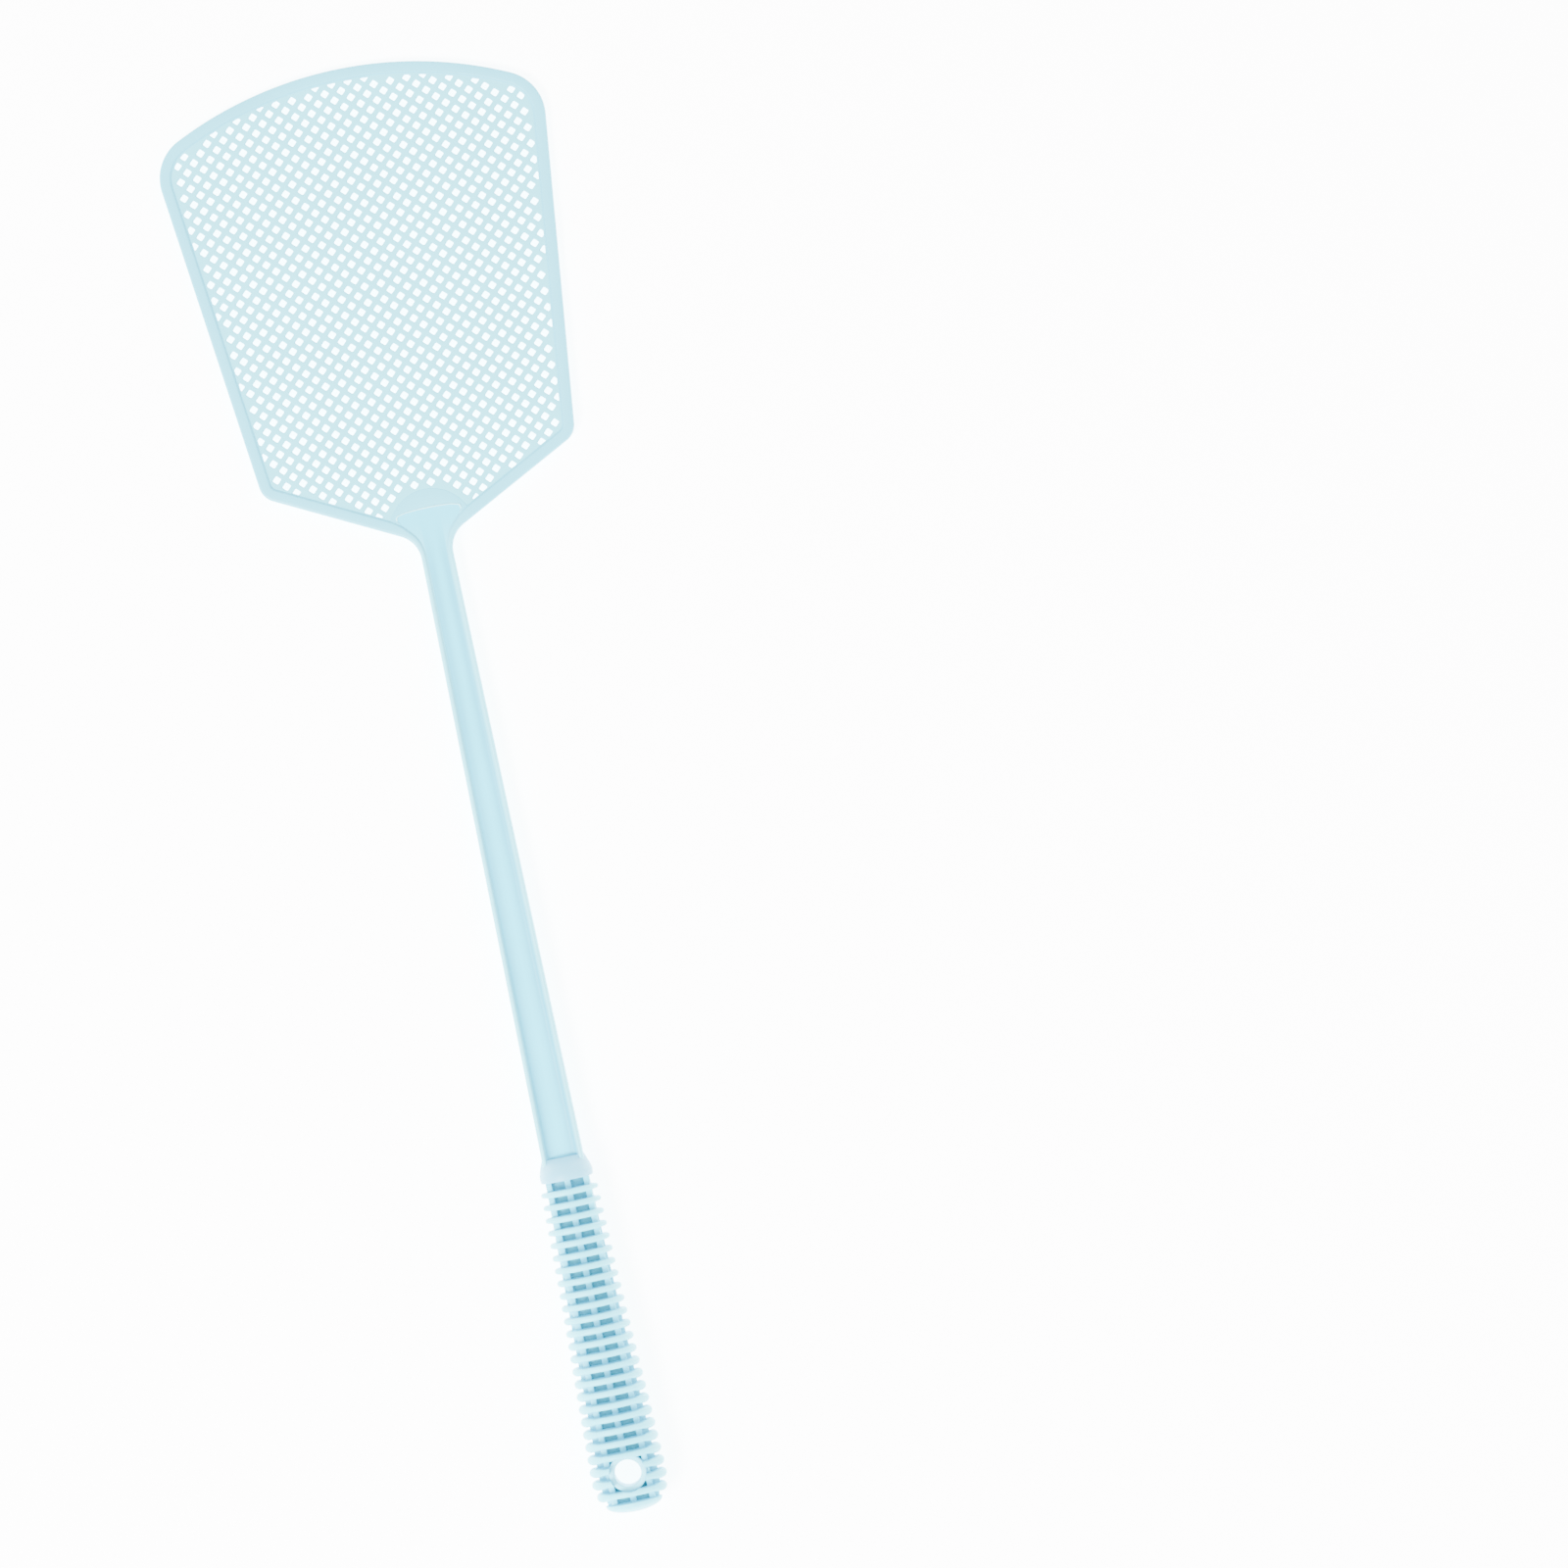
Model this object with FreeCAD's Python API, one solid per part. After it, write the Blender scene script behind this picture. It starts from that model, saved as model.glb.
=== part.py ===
import FreeCAD, Part
import math
import os

# Fly swatter: one thin injection moulding, written as its functional regions.
# Frame, in millimetres: X across the flap, Y along the handle towards the flap,
# Z through the thickness. Origin on the axis of the hang hole, on the mould's
# parting plane (Z = 0). The front and the back are mirror images about Z = 0.

V = FreeCAD.Vector
os.makedirs("parts", exist_ok=True)

# ---------------------------------------------------------------- dimensions
# flap outline
FLAP_TOP_Y = 418.0          # crown of the flap
TOP_RADIUS = 115.5          # crown arc
TOP_CORNER_R = 13.5
SIDE_HALF_HIGH = (57.1, 392.0)   # point on the tapering side
SIDE_HALF_LOW = (47.0, 303.2)
LOW_CORNER_R = 6.0
SHOULDER_SLOPE = 0.5146     # 27 degrees
SHOULDER_Y0 = 275.71        # where the shoulder line meets the centre line
NECK_FILLET_R = 8.5
RIM_WIDTH = 3.5
RIM_HALF_T = 1.5
# lattice
MESH_HALF_T = 0.85
PITCH_X = 4.874
PITCH_Y = 4.776
HOLE_FRACTION = 0.60        # opening across flats over strand pitch
LATTICE_Y0 = 359.0
LAND = 0.25                 # solid land between a clipped opening and the rim
# neck fan and pan
FAN_R = 12.8
FAN_CY = 280.2
FAN_HALF_T = 0.95
PAN_TOP_Y = 287.1
PAN_CORNER = (9.3, 285.2)
BEAD_W = 0.55
BEAD_PROUD = 0.35
# shaft
SHAFT_LOW_Y = 94.4
SHAFT_HALF_LOW = 6.2
SHAFT_HIGH_Y = 272.0
SHAFT_HALF_HIGH = 4.8
FLANGE_W_LOW = 1.5
FLANGE_W_HIGH = 1.55
FLANGE_HALF_T_LOW = 3.0
FLANGE_HALF_T_HIGH = 1.5
WEB_HALF_T = 0.8
# collar
COLLAR_Y0 = 87.2
COLLAR_SECTIONS = [         # y, half width, half depth
    (87.2, 7.45, 7.25), (87.9, 7.78, 7.62), (88.9, 7.85, 7.6), (90.4, 7.55, 6.85),
    (91.9, 7.05, 5.45), (93.0, 6.62, 4.1), (93.8, 6.33, 3.1)]
# grip
FIN_COUNT = 25
FIN_PITCH = 3.732
FIN_FIRST_Y = 83.77
FIN_T = 2.0                 # between the side ribs
FIN_TIP = [                 # y, thickness of the tips outside the side ribs
    (83.8, 1.4), (60.0, 1.8), (43.0, 2.1), (27.0, 2.6), (15.0, 2.8), (-5.8, 2.8)]
FIN_WIDTHS = [              # y, half width
    (83.8, 8.5), (72.6, 8.8), (61.5, 9.05), (50.3, 9.35), (39.3, 9.75), (28.1, 10.2),
    (16.8, 10.65), (5.7, 11.0), (1.8, 11.15), (-2.1, 11.15), (-5.8, 10.45)]
FIN_DEPTHS = [(83.8, 7.4), (40.0, 7.9), (5.0, 8.2), (-2.1, 8.15), (-5.8, 7.7)]
RIB_HALF_T = 3.0
CENTRE_RIB_HALF_W = 0.95
SIDE_RIB_IN = 4.65
SIDE_RIB_OUT = 6.5
GRIP_WEB_HALF_T = 0.8
GRIP_WEB_HALF_LOW = 8.7     # beside the hang eye
GRIP_WEB_HALF_HIGH = 6.5    # under the collar
# hang eye
EYE_BORE_R = 3.85
EYE_OUTER_R = 5.5
EYE_HALF_T = 4.2
# end cap
CAP_Y = -8.55
CAP_LEN = 3.15
CAP_HALF_W = 8.4
CAP_HALF_D = 7.0
# gate witness on the back
GATE_Y = 101.9
GATE_R = 2.85
GATE_WALL = 0.35
GATE_PROUD = 0.3


# ------------------------------------------------------------------- helpers
def table(rows, y):
    rows = sorted(rows)
    if y <= rows[0][0]:
        return rows[0][1]
    for (y0, a), (y1, b) in zip(rows, rows[1:]):
        if y <= y1:
            return a + (b - a) * (y - y0) / (y1 - y0)
    return rows[-1][1]


def box(x0, y0, z0, x1, y1, z1):
    return Part.makeBox(x1 - x0, y1 - y0, z1 - z0, V(x0, y0, z0))


def slab(face, half_t):
    """A planar face at Z = 0 made into a plate of the given half thickness."""
    s = face.copy()
    s.translate(V(0, 0, -half_t))
    return s.extrude(V(0, 0, 2 * half_t))


def poly_face(points):
    pts = [V(x, y, 0) for x, y in points]
    return Part.Face(Part.makePolygon(pts + [pts[0]]))


def arc_points(cx, cy, r, a0, a1, n):
    return [(cx + r * math.cos(a0 + (a1 - a0) * i / n), cy + r * math.sin(a0 + (a1 - a0) * i / n))
            for i in range(n + 1)]


def line_through(p, q):
    dx, dy = q[0] - p[0], q[1] - p[1]
    n = math.hypot(dx, dy)
    return p, (dx / n, dy / n)


def offset_line(line, d):
    """Moves a line to its left by d."""
    (px, py), (dx, dy) = line
    return (px - dy * d, py + dx * d), (dx, dy)


def meet(a, b):
    (p, d), (q, e) = a, b
    det = d[0] * -e[1] + d[1] * e[0]
    t = ((q[0] - p[0]) * -e[1] + (q[1] - p[1]) * e[0]) / det
    return p[0] + d[0] * t, p[1] + d[1] * t


def foot(line, c):
    (p, d) = line
    t = (c[0] - p[0]) * d[0] + (c[1] - p[1]) * d[1]
    return p[0] + d[0] * t, p[1] + d[1] * t


def arc_edge(c, p, q):
    """Minor arc from p to q about c."""
    mx, my = (p[0] + q[0]) / 2 - c[0], (p[1] + q[1]) / 2 - c[1]
    r = math.hypot(p[0] - c[0], p[1] - c[1])
    k = r / math.hypot(mx, my)
    return Part.Arc(V(p[0], p[1], 0), V(c[0] + mx * k, c[1] + my * k, 0), V(q[0], q[1], 0)).toShape()


def seg(p, q):
    return Part.LineSegment(V(p[0], p[1], 0), V(q[0], q[1], 0)).toShape()


def flap_outline(off, low_y=None):
    """Closed outline of the flap, moved inwards by off. With low_y the outline
    runs down the neck to that height, otherwise it closes in a V."""
    top_c = (0.0, FLAP_TOP_Y - TOP_RADIUS)
    top_r = TOP_RADIUS - off
    # right-hand side, travelled downwards: inside is on the right
    side = offset_line(line_through(SIDE_HALF_HIGH, SIDE_HALF_LOW), -off)
    shoulder = offset_line(line_through((40.0, SHOULDER_Y0 + 40 * SHOULDER_SLOPE), (0.0, SHOULDER_Y0)), -off)
    r1, r2 = TOP_CORNER_R - off, LOW_CORNER_R - off
    # top corner: centre r1 inside the side line and top_r - r1 from the crown centre
    inner = offset_line(side, -r1)
    (px, py), (dx, dy) = inner
    fx, fy = px - top_c[0], py - top_c[1]
    b = fx * dx + fy * dy
    c = fx * fx + fy * fy - (top_r - r1) ** 2
    t = -b - math.sqrt(b * b - c)
    c1 = (px + dx * t, py + dy * t)
    n = math.hypot(c1[0] - top_c[0], c1[1] - top_c[1])
    t1 = (top_c[0] + (c1[0] - top_c[0]) * top_r / n, top_c[1] + (c1[1] - top_c[1]) * top_r / n)
    t2 = foot(side, c1)
    # low corner
    c2 = meet(offset_line(side, -r2), offset_line(shoulder, -r2))
    t3, t4 = foot(side, c2), foot(shoulder, c2)
    half = [arc_edge(c1, t1, t2), seg(t2, t3), arc_edge(c2, t3, t4)]
    if low_y is None:
        apex = (0.0, meet(shoulder, ((0.0, 0.0), (0.0, 1.0)))[1])
        half.append(seg(t4, apex))
        tail = []
    else:
        shaft = line_through((SHAFT_HALF_HIGH, SHAFT_HIGH_Y), (SHAFT_HALF_LOW, SHAFT_LOW_Y))
        c3 = meet(offset_line(shaft, NECK_FILLET_R), offset_line(shoulder, NECK_FILLET_R))
        t5, t6 = foot(shoulder, c3), foot(shaft, c3)
        low = meet(shaft, ((0.0, low_y), (1.0, 0.0)))
        half += [seg(t4, t5), arc_edge(c3, t5, t6), seg(t6, low)]
        tail = [seg(low, (-low[0], low[1]))]
    other = [e.mirror(V(0, 0, 0), V(1, 0, 0)) for e in half]
    top = Part.Arc(V(-t1[0], t1[1], 0), V(0, top_c[1] + top_r, 0), V(t1[0], t1[1], 0)).toShape()
    edges = Part.__sortEdges__([top] + half + tail + other)
    return Part.Wire(edges)


def ellipse_wire(y, a, b):
    """Ellipse in the plane Y = y, half width a along X, half depth b along Z."""
    if a >= b:
        e = Part.Ellipse(V(a, y, 0), V(0, y, b), V(0, y, 0))
    else:
        e = Part.Ellipse(V(0, y, b), V(a, y, 0), V(0, y, 0))
    return Part.Wire(e.toShape())


def export(name, shape):
    solids = shape.Solids
    s = solids[0] if len(solids) == 1 else Part.makeCompound(solids)
    assert solids and all(k.isValid() for k in solids), name
    s.exportStep("parts/%s.step" % name)
    bb = s.BoundBox
    print("%-22s solids %3d  volume %9.1f  x %.2f..%.2f y %.2f..%.2f z %.2f..%.2f" % (
        name, len(solids), s.Volume, bb.XMin, bb.XMax, bb.YMin, bb.YMax, bb.ZMin, bb.ZMax))
    return s


# ---------------------------------------------------------------- flap shapes
outer_face = Part.Face(flap_outline(0.0, low_y=88.0))
inner_face = Part.Face(flap_outline(RIM_WIDTH))
fan_disc = Part.Face(Part.Wire(Part.Circle(V(0, FAN_CY, 0), V(0, 0, 1), FAN_R).toShape()))

# pan: the recessed floor that carries the shaft's channel into the flap
x_in = SHAFT_HALF_HIGH - FLANGE_W_HIGH
pan_side = [(x_in, SHAFT_HIGH_Y), (x_in + 0.10, 274.6), (x_in + 0.42, 276.6), (x_in + 1.15, 278.6),
            (x_in + 2.35, 280.4), (x_in + 3.95, 282.1), (x_in + 5.45, 283.6)]
cx, cy = PAN_CORNER[0] - 1.1, PAN_CORNER[1] + 0.2
pan_side += arc_points(cx, cy, 1.1, math.radians(-45), math.radians(95), 7)
x_low = SHAFT_HALF_LOW - FLANGE_W_LOW
pan_side = [(x_low, SHAFT_LOW_Y - 0.0)] + pan_side
k_low = (x_in - x_low) / (SHAFT_HIGH_Y - SHAFT_LOW_Y)
pan_side[0] = (x_low - k_low * (SHAFT_LOW_Y - 88.0), 88.0)
pan_top = [(5.0, PAN_TOP_Y - 0.15), (0.0, PAN_TOP_Y)]
right = pan_side + pan_top
left = [(-x, y) for x, y in reversed(right[:-1])]
pan_face = poly_face(right + left)

neck_zone = poly_face([(-9.4, 60), (9.4, 60), (9.4, 292), (-9.4, 292)])

# rim: raised frame around the lattice
rim_face = outer_face.cut(inner_face).cut(neck_zone)
flap_rim = slab(rim_face, RIM_HALF_T)
flap_rim = export("flap_rim", flap_rim)

# lattice plate
mesh_face = inner_face.cut(fan_disc)
mesh_face = max(mesh_face.Faces, key=lambda f: f.Area)
half_x, half_y = PITCH_X / 2 * HOLE_FRACTION, PITCH_Y / 2 * HOLE_FRACTION


def clip(poly, n, d):
    """Keeps the part of a convex polygon where n . p <= d."""
    out = []
    for i, p in enumerate(poly):
        q = poly[(i + 1) % len(poly)]
        a = n[0] * p[0] + n[1] * p[1] - d
        b = n[0] * q[0] + n[1] * q[1] - d
        if a <= 0:
            out.append(p)
        if (a < 0 < b) or (b < 0 < a):
            t = a / (a - b)
            out.append((p[0] + (q[0] - p[0]) * t, p[1] + (q[1] - p[1]) * t))
    return out


def area(poly):
    return 0.5 * sum(p[0] * q[1] - q[0] * p[1] for p, q in zip(poly, poly[1:] + poly[:1]))


bound = flap_outline(RIM_WIDTH + LAND)
limits = []
for e in bound.Edges:
    n = 1 if e.Curve.TypeId == "Part::GeomLine" else max(6, int(e.Length / 3.0))
    ps = e.discretize(n + 1)
    for a, b in zip(ps, ps[1:]):
        dx, dy = b.x - a.x, b.y - a.y
        k = math.hypot(dx, dy)
        nx, ny = dy / k, -dx / k
        if nx * (a.x - 0) + ny * (a.y - 350) < 0:
            nx, ny = -nx, -ny
        limits.append(((nx, ny), nx * a.x + ny * a.y))
full = 2 * half_x * half_y
holes = []
for i in range(-26, 27):
    for j in range(-30, 31):
        if (i + j) % 2:
            continue
        hx, hy = i * PITCH_X / 2, LATTICE_Y0 + j * PITCH_Y / 2
        poly = [(hx - half_x, hy), (hx, hy - half_y), (hx + half_x, hy), (hx, hy + half_y)]
        for n, d in limits:
            poly = clip(poly, n, d)
            if len(poly) < 3:
                break
        if len(poly) < 3:
            continue
        rx, ry = hx, hy - FAN_CY
        r = math.hypot(rx, ry)
        if r < FAN_R + 6:
            poly = clip(poly, (-rx / r, -ry / r), -(FAN_R + LAND) - ry / r * FAN_CY)
        if len(poly) < 3:
            continue
        clean = [p for p, q in zip(poly, poly[1:] + poly[:1]) if math.hypot(p[0] - q[0], p[1] - q[1]) > 0.05]
        if len(clean) >= 3 and area(clean) > 0.34 * full:
            holes.append(clean)
wires = [mesh_face.OuterWire]
for h in holes:
    pts = [V(x, y, 0) for x, y in h]
    wires.append(Part.makePolygon(pts + [pts[0]]))
plate = Part.makeFace(wires, "Part::FaceMakerBullseye")
flap_mesh = slab(plate, MESH_HALF_T)
print("openings in the lattice:", len(holes))
flap_mesh = export("flap_mesh", flap_mesh)

# neck fan: the solid gusset above the pan
fan_face = fan_disc.common(inner_face).cut(pan_face)
fan_face = max(fan_face.Faces, key=lambda f: f.Area)
neck_fan = export("neck_fan", slab(fan_face, FAN_HALF_T))

# bead: fine raised line along the top of the pan, front and back
bead_line = [(x, y) for x, y in right if y > 285.3]
up = [(x, y + BEAD_W) for x, y in bead_line]
strip = [(x, y) for x, y in bead_line] + [(-x, y) for x, y in reversed(bead_line[:-1])]
strip_up = [(x, y + BEAD_W) for x, y in strip]
bead_face = poly_face(strip + strip_up[::-1]).common(fan_face)
front = bead_face.copy()
front.translate(V(0, 0, FAN_HALF_T))
front = front.extrude(V(0, 0, BEAD_PROUD))
back = bead_face.copy()
back.translate(V(0, 0, -FAN_HALF_T - BEAD_PROUD))
back = back.extrude(V(0, 0, BEAD_PROUD))
export("neck_bead", Part.makeCompound(front.Solids + back.Solids))

# ------------------------------------------------------------------- collar
collar = Part.makeLoft([ellipse_wire(y, a, b) for y, a, b in COLLAR_SECTIONS], True, False)
collar = export("collar", collar)

# -------------------------------------------------------------------- shaft
taper = Part.Face(Part.makePolygon([V(0, y, z) for y, z in (
    (80, -FLANGE_HALF_T_LOW), (SHAFT_LOW_Y, -FLANGE_HALF_T_LOW), (SHAFT_HIGH_Y + 4, -FLANGE_HALF_T_HIGH),
    (300, -FLANGE_HALF_T_HIGH), (300, FLANGE_HALF_T_HIGH), (SHAFT_HIGH_Y + 4, FLANGE_HALF_T_HIGH),
    (SHAFT_LOW_Y, FLANGE_HALF_T_LOW), (80, FLANGE_HALF_T_LOW), (80, -FLANGE_HALF_T_LOW))]))
taper.translate(V(-30, 0, 0))
taper = taper.extrude(V(60, 0, 0))
band = outer_face.common(neck_zone).cut(inner_face).cut(pan_face)
for f in band.Faces:
    solid = slab(f, 4.0).common(taper).cut(collar)
    big = max(solid.Solids, key=lambda s: s.Volume)
    if big.Volume < 50:
        continue
    name = "shaft_flange_left" if big.CenterOfMass.x < 0 else "shaft_flange_right"
    export(name, big)
shaft_web = slab(pan_face, WEB_HALF_T).cut(collar)
shaft_web = max(shaft_web.Solids, key=lambda s: s.Volume)
shaft_web = export("shaft_web", shaft_web)

# gate witness: a shallow ring and disc on the back of the channel floor
disc = Part.makeCylinder(GATE_R, GATE_PROUD * 0.5, V(0, GATE_Y, -WEB_HALF_T - GATE_PROUD * 0.5))
ring = Part.makeCylinder(GATE_R, GATE_PROUD, V(0, GATE_Y, -WEB_HALF_T - GATE_PROUD)).cut(
    Part.makeCylinder(GATE_R - GATE_WALL, GATE_PROUD, V(0, GATE_Y, -WEB_HALF_T - GATE_PROUD)))
export("gate_mark", disc.fuse(ring).removeSplitter())

# --------------------------------------------------------------------- grip
eye_tool = Part.makeCylinder(EYE_OUTER_R, 30, V(0, 0, -15))
half_top = GRIP_WEB_HALF_HIGH
half_low = GRIP_WEB_HALF_LOW
grip_web_face = poly_face([(-7.6, CAP_Y), (7.6, CAP_Y), (half_low, -4.0), (half_low, 2.0), (half_top, COLLAR_Y0),
                           (-half_top, COLLAR_Y0), (-half_low, 2.0), (-half_low, -4.0)])
grip_web = slab(grip_web_face, GRIP_WEB_HALF_T).cut(eye_tool)
export("grip_web", grip_web)


def rib(x0, x1):
    front = box(x0, CAP_Y, GRIP_WEB_HALF_T, x1, COLLAR_Y0, RIB_HALF_T)
    back = box(x0, CAP_Y, -RIB_HALF_T, x1, COLLAR_Y0, -GRIP_WEB_HALF_T)
    return Part.makeCompound([front, back])


ribs = {"grip_centre_rib": rib(-CENTRE_RIB_HALF_W, CENTRE_RIB_HALF_W),
        "grip_side_rib_left": rib(-SIDE_RIB_OUT, -SIDE_RIB_IN),
        "grip_side_rib_right": rib(SIDE_RIB_IN, SIDE_RIB_OUT)}
for name, r in ribs.items():
    solids = []
    for s in r.Solids:
        solids += s.cut(eye_tool).Solids
    export(name, Part.makeCompound(solids))

core = slab(grip_web_face, GRIP_WEB_HALF_T)
for x0, x1 in ((-CENTRE_RIB_HALF_W, CENTRE_RIB_HALF_W), (-SIDE_RIB_OUT, -SIDE_RIB_IN), (SIDE_RIB_IN, SIDE_RIB_OUT)):
    core = core.fuse(box(x0, CAP_Y, -RIB_HALF_T, x1, COLLAR_Y0, RIB_HALF_T))

plain, eyed = [], []
for k in range(FIN_COUNT):
    y = FIN_FIRST_Y - FIN_PITCH * k
    a, b = table(FIN_WIDTHS, y), table(FIN_DEPTHS, y)
    mid, tip = FIN_T / 2, table(FIN_TIP, y) / 2
    half = max(mid, tip)
    wire = ellipse_wire(y - half, a, b)
    fin = Part.Face(wire).extrude(V(0, 2 * half, 0))
    rows = [(SIDE_RIB_OUT, mid), (0.84 * a, tip), (a + 1, tip)]
    plan = [(x, y + h) for x, h in rows] + [(x, y - h) for x, h in reversed(rows)]
    plan += [(-x, y - h) for x, h in rows] + [(-x, y + h) for x, h in reversed(rows)]
    taper = Part.Face(Part.makePolygon([V(x, q, -20) for x, q in plan + plan[:1]])).extrude(V(0, 0, 40))
    fin = fin.common(taper)
    fin = fin.cut(core)
    if abs(y) < EYE_OUTER_R + half + 0.01:
        fin = fin.cut(eye_tool)
        eyed += fin.Solids
    else:
        plain += fin.Solids
export("grip_fins", Part.makeCompound(plain))
export("eye_fins", Part.makeCompound(eyed))

# hang eye: boss ring round the bore
eye = Part.makeCylinder(EYE_OUTER_R, 2 * EYE_HALF_T, V(0, 0, -EYE_HALF_T))
eye = eye.cut(Part.makeCylinder(EYE_BORE_R, 2 * EYE_HALF_T, V(0, 0, -EYE_HALF_T)))
lip = [e for e in eye.Edges if e.BoundBox.ZLength < 1e-6 and e.BoundBox.XLength > 2 * EYE_OUTER_R - 0.1]
eye = eye.makeFillet(0.4, lip)
export("hang_eye", eye)

# end cap: domed closing plate
ball = Part.makeSphere(1.0)
m = FreeCAD.Matrix()
m.A11, m.A22, m.A33 = CAP_HALF_W, CAP_LEN, CAP_HALF_D
cap = ball.transformGeometry(m)
cap.translate(V(0, CAP_Y, 0))
cap = cap.common(box(-20, CAP_Y - 10, -20, 20, CAP_Y, 20))
export("end_cap", cap)
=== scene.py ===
import bpy
import bmesh
import math
import numpy as np
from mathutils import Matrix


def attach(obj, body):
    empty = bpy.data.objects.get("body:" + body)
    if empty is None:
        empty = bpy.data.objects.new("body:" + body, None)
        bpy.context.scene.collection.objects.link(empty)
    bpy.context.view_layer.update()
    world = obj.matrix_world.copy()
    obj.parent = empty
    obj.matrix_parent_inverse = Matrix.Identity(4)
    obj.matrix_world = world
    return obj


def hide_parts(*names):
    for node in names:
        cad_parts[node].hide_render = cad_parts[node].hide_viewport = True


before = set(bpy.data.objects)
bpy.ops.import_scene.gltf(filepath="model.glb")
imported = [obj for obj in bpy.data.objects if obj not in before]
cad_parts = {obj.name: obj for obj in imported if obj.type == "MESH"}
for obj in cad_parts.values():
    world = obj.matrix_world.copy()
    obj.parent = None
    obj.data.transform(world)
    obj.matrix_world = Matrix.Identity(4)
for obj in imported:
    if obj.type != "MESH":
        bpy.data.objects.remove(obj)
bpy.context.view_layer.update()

# Fly swatter, shaped as one satin moulding. Everything below is worked out in
# millimetres in the CAD frame and turned into metres when a mesh is made.
MM = 0.001

# ------------------------------------------------------------------ dimensions
FLAP_TOP_Y, TOP_RADIUS, TOP_CORNER_R = 418.0, 115.5, 13.5
SIDE_HIGH, SIDE_LOW = (57.1, 392.0), (47.0, 303.2)
LOW_CORNER_R, SHOULDER_SLOPE, SHOULDER_Y0 = 6.0, 0.5146, 275.71
NECK_FILLET_R, RIM_WIDTH, RIM_HALF_T = 8.5, 3.5, 1.5
MESH_HALF_T, PITCH_X, PITCH_Y, LATTICE_Y0, LAND = 0.85, 4.874, 4.776, 359.0, 0.25
FAN_R, FAN_CY, FAN_HALF_T = 12.8, 280.2, 0.95
SHAFT_LOW, SHAFT_HIGH = (6.2, 94.4), (4.8, 272.0)
FLANGE_W = (1.5, 1.55)
WEB_HALF_T = 0.8
COLLAR = [(87.2, 7.45, 7.25), (87.9, 7.78, 7.62), (88.9, 7.85, 7.6), (90.4, 7.55, 6.85),
          (91.9, 7.05, 5.45), (93.0, 6.62, 4.1), (93.8, 6.33, 3.1)]
FIN_COUNT, FIN_PITCH, FIN_FIRST_Y = 25, 3.732, 83.77
FIN_WIDTHS = [(83.8, 8.5), (72.6, 8.8), (61.5, 9.05), (50.3, 9.35), (39.3, 9.75), (28.1, 10.2),
              (16.8, 10.65), (5.7, 11.0), (1.8, 11.15), (-2.1, 11.15), (-5.8, 10.45)]
FIN_T = 2.0
FIN_TIP = [(83.8, 1.4), (60.0, 1.8), (43.0, 2.1), (27.0, 2.6), (15.0, 2.8), (-5.8, 2.8)]
FIN_DEPTHS = [(83.8, 7.4), (40.0, 7.9), (5.0, 8.2), (-2.1, 8.15), (-5.8, 7.7)]
RIB_HALF_T, CENTRE_RIB, SIDE_RIB = 3.0, 0.95, (4.65, 6.5)
GRIP_WEB_LOW, GRIP_WEB_HIGH, COLLAR_Y0 = 8.7, 6.5, 87.2
EYE_BORE_R, EYE_OUTER_R, EYE_HALF_T = 3.85, 5.5, 4.2
CAP_Y, CAP_LEN, CAP_HALF_W, CAP_HALF_D = -8.55, 3.15, 8.4, 7.0
GATE_Y, GATE_R = 101.9, 2.85


# --------------------------------------------------------------------- helpers
def table(rows, y):
    rows = sorted(rows)
    return float(np.interp(y, [r[0] for r in rows], [r[1] for r in rows]))


def make(name, verts, faces, nodes, angle=32.0, merge=0.002):
    """A clean closed mesh from points in millimetres that rides on the frame."""
    me = bpy.data.meshes.new(name)
    me.from_pydata([(float(a) * MM, float(b) * MM, float(c) * MM) for a, b, c in verts], [],
                   [tuple(int(i) for i in f) for f in faces])
    bm = bmesh.new()
    bm.from_mesh(me)
    if merge:
        bmesh.ops.remove_doubles(bm, verts=bm.verts, dist=merge * MM)
    bmesh.ops.dissolve_degenerate(bm, dist=merge * MM * 0.5, edges=bm.edges)
    bmesh.ops.recalc_face_normals(bm, faces=bm.faces)
    bm.to_mesh(me)
    bm.free()
    me.shade_smooth()
    me.set_sharp_from_angle(angle=math.radians(angle))
    ob = bpy.data.objects.new(name, me)
    bpy.context.scene.collection.objects.link(ob)
    ob.data.materials.append(TONES.get(name, PLASTIC))
    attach(ob, "root")
    if nodes:
        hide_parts(*nodes)
    return ob


class Build:
    """Collects closed islands of one mesh."""

    def __init__(self):
        self.v, self.f = [], []

    def loft(self, rings, cap=True, loop=False):
        """Rings of equal count, each closed, joined in order."""
        base, n = len(self.v), len(rings[0])
        for r in rings:
            self.v += [tuple(p) for p in r]
        m = len(rings)
        for i in range(m if loop else m - 1):
            a, b = base + i * n, base + ((i + 1) % m) * n
            for k in range(n):
                k2 = (k + 1) % n
                self.f.append((a + k, a + k2, b + k2, b + k))
        if cap and not loop:
            for start, flip in ((base, True), (base + (m - 1) * n, False)):
                pts = np.array([self.v[start + k] for k in range(n)])
                self.v.append(tuple(pts.mean(0)))
                c = len(self.v) - 1
                for k in range(n):
                    k2 = (k + 1) % n
                    self.f.append((start + k2, start + k, c) if flip else (start + k, start + k2, c))
        return self


def arc(cx, cy, r, a0, a1, n, ends=True):
    t = np.linspace(math.radians(a0), math.radians(a1), n + 1)
    if not ends:
        t = t[1:-1]
    return [(cx + r * math.cos(a), cy + r * math.sin(a)) for a in t]


def ellipse_ring(y, a, b, n=96, power=2.0):
    out = []
    for k in range(n):
        t = 2 * math.pi * k / n
        c, s = math.cos(t), math.sin(t)
        out.append((a * math.copysign(abs(c) ** (2 / power), c), y, b * math.copysign(abs(s) ** (2 / power), s)))
    return out


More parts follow.
